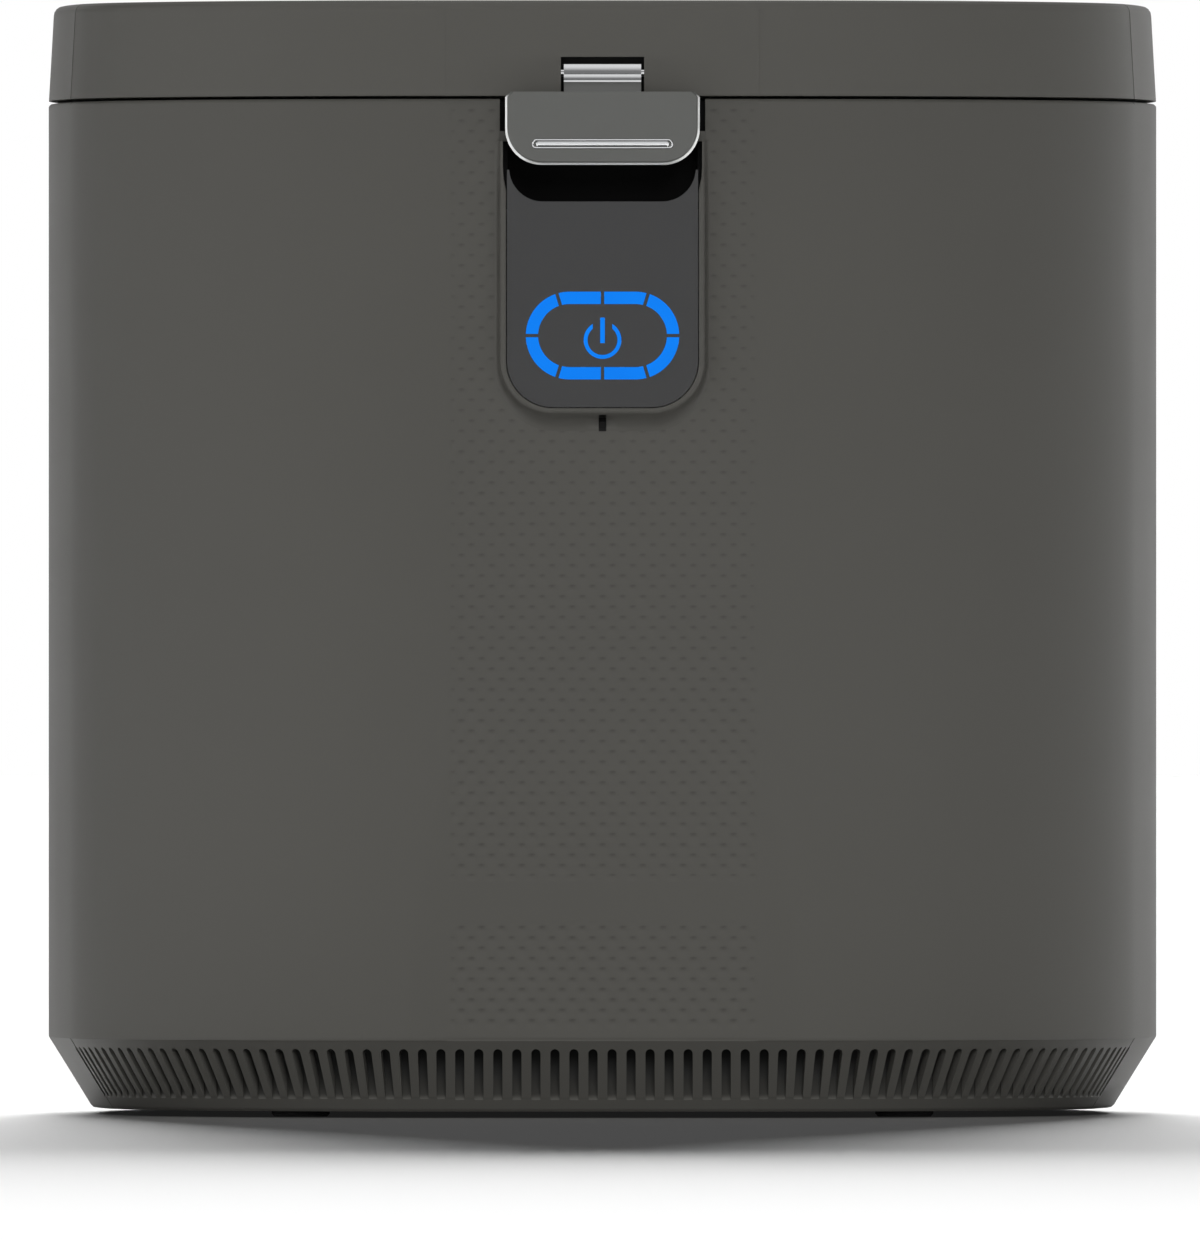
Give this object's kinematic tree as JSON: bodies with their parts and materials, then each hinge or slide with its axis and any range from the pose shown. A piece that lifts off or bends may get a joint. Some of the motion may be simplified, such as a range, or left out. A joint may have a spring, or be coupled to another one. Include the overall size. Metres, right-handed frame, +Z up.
{
  "type": "electric food waste composter",
  "caption": "Worktop food waste composter with a hinged lid and front latch, touch panel, lift-out bucket with bail and driven agitator, vented skirt and rear charcoal filter.",
  "frame": {"origin": "under the middle of the machine, on the plane that its feet stand on", "axes": "+Z up, the latch and control panel face -Y, +X to the right of a person facing the machine from the rear hinge side to the front"},
  "size_m": [0.3, 0.336, 0.2995],
  "materials": {
    "body_plastic": "fine matt",
    "lid_plastic": "fine matt",
    "dark_plastic": "matt",
    "panel_plastic": "satin",
    "blue_light": "lit",
    "lever_metal": "satin",
    "bright_chrome": "polished",
    "steel": "brushed",
    "motor_paint": "satin",
    "bucket_coating": "satin coated",
    "rubber": "matt",
    "brass": "satin",
    "circuit_board": "satin",
    "nylon": "satin",
    "charcoal": "matt"
  },
  "bodies": {
    "housing": {"housing_shell": "body_plastic", "base_pan": "dark_plastic", "vent_liner": "dark_plastic", "foot_front_left": "rubber", "foot_front_right": "rubber", "foot_rear_left": "rubber", "foot_rear_right": "rubber", "control_pod": "body_plastic", "control_panel": "panel_plastic", "indicator_ring": "blue_light", "power_mark": "blue_light", "latch_cup": "dark_plastic", "latch_keeper": "steel", "top_deck": "dark_plastic", "bucket_well": "steel", "heater_plate": "brass", "gear_frame_lower": "steel", "gear_frame_upper": "steel", "drive_motor": "motor_paint", "output_bearing": "brass", "control_board": "circuit_board", "power_board": "circuit_board", "fan_frame": "dark_plastic", "exhaust_duct": "dark_plastic", "filter_sleeve": "dark_plastic", "inlet_body": "dark_plastic", "inlet_pins": "brass", "hinge_bracket": "body_plastic", "hinge_pin": "bright_chrome"},
    "lid": {"lid_shell": "lid_plastic", "lid_liner": "dark_plastic", "lid_gasket": "rubber", "lid_hinge_leaf": "lid_plastic", "latch_pin": "bright_chrome"},
    "latch": {"latch_lever": "lever_metal", "latch_barrel": "bright_chrome", "latch_inlay": "bright_chrome"},
    "bucket": {"bucket_pail": "bucket_coating", "bucket_ear_left": "steel", "bucket_ear_right": "steel", "bucket_bush": "brass"},
    "bail": {"bail_arm": "steel", "bail_grip": "dark_plastic"},
    "agitator": {"agitator_shaft": "bright_chrome", "agitator_arms": "bucket_coating"},
    "drive": {"drive_gear": "nylon", "drive_shaft": "bright_chrome"},
    "pinion": {"motor_pinion": "brass"},
    "fan": {"fan_impeller": "nylon"},
    "filter": {"filter_case": "dark_plastic", "filter_charge": "charcoal", "filter_door": "body_plastic", "filter_seal": "rubber"}
  },
  "joints": [
    {"name": "lid_hinge", "type": "hinge", "parent": "housing", "child": "lid", "pos_m": [0, 0.1645, 0.2735], "axis": [-1, 0, 0], "range_deg": [0, 95]},
    {"name": "latch_hinge", "type": "hinge", "parent": "lid", "child": "latch", "pos_m": [0, -0.1585, 0.27995], "axis": [-1, 0, 0], "range_deg": [-6, 75]},
    {"name": "bucket_lift", "type": "slide", "parent": "housing", "child": "bucket", "axis": [0, 0, 1], "range_m": [0, 0.158]},
    {"name": "bail_hinge", "type": "hinge", "parent": "bucket", "child": "bail", "pos_m": [0, -0.033, 0.255], "axis": [-1, 0, 0], "range_deg": [0, 86]},
    {"name": "drive_spin", "type": "hinge", "parent": "housing", "child": "drive", "pos_m": [0, -0.033, 0.06], "axis": [0, 0, 1], "continuous": true},
    {"name": "agitator_spin", "type": "hinge", "parent": "bucket", "child": "agitator", "pos_m": [0, -0.033, 0.11], "axis": [0, 0, 1], "continuous": true},
    {"name": "pinion_spin", "type": "hinge", "parent": "housing", "child": "pinion", "pos_m": [0.06, -0.033, 0.06], "axis": [0, 0, 1], "continuous": true},
    {"name": "fan_spin", "type": "hinge", "parent": "housing", "child": "fan", "pos_m": [0, 0.08, 0.168], "axis": [0, 1, 0], "continuous": true},
    {"name": "filter_slide", "type": "slide", "parent": "housing", "child": "filter", "axis": [0, 1, 0], "range_m": [0, 0.075]}
  ],
  "couplings": [
    {"joint": "bucket_lift", "follows": "lid_hinge", "m_per_rad": 0.095},
    {"joint": "bail_hinge", "follows": "lid_hinge", "ratio": 0.9},
    {"joint": "agitator_spin", "follows": "drive_spin", "ratio": 1},
    {"joint": "pinion_spin", "follows": "drive_spin", "ratio": -3}
  ]
}
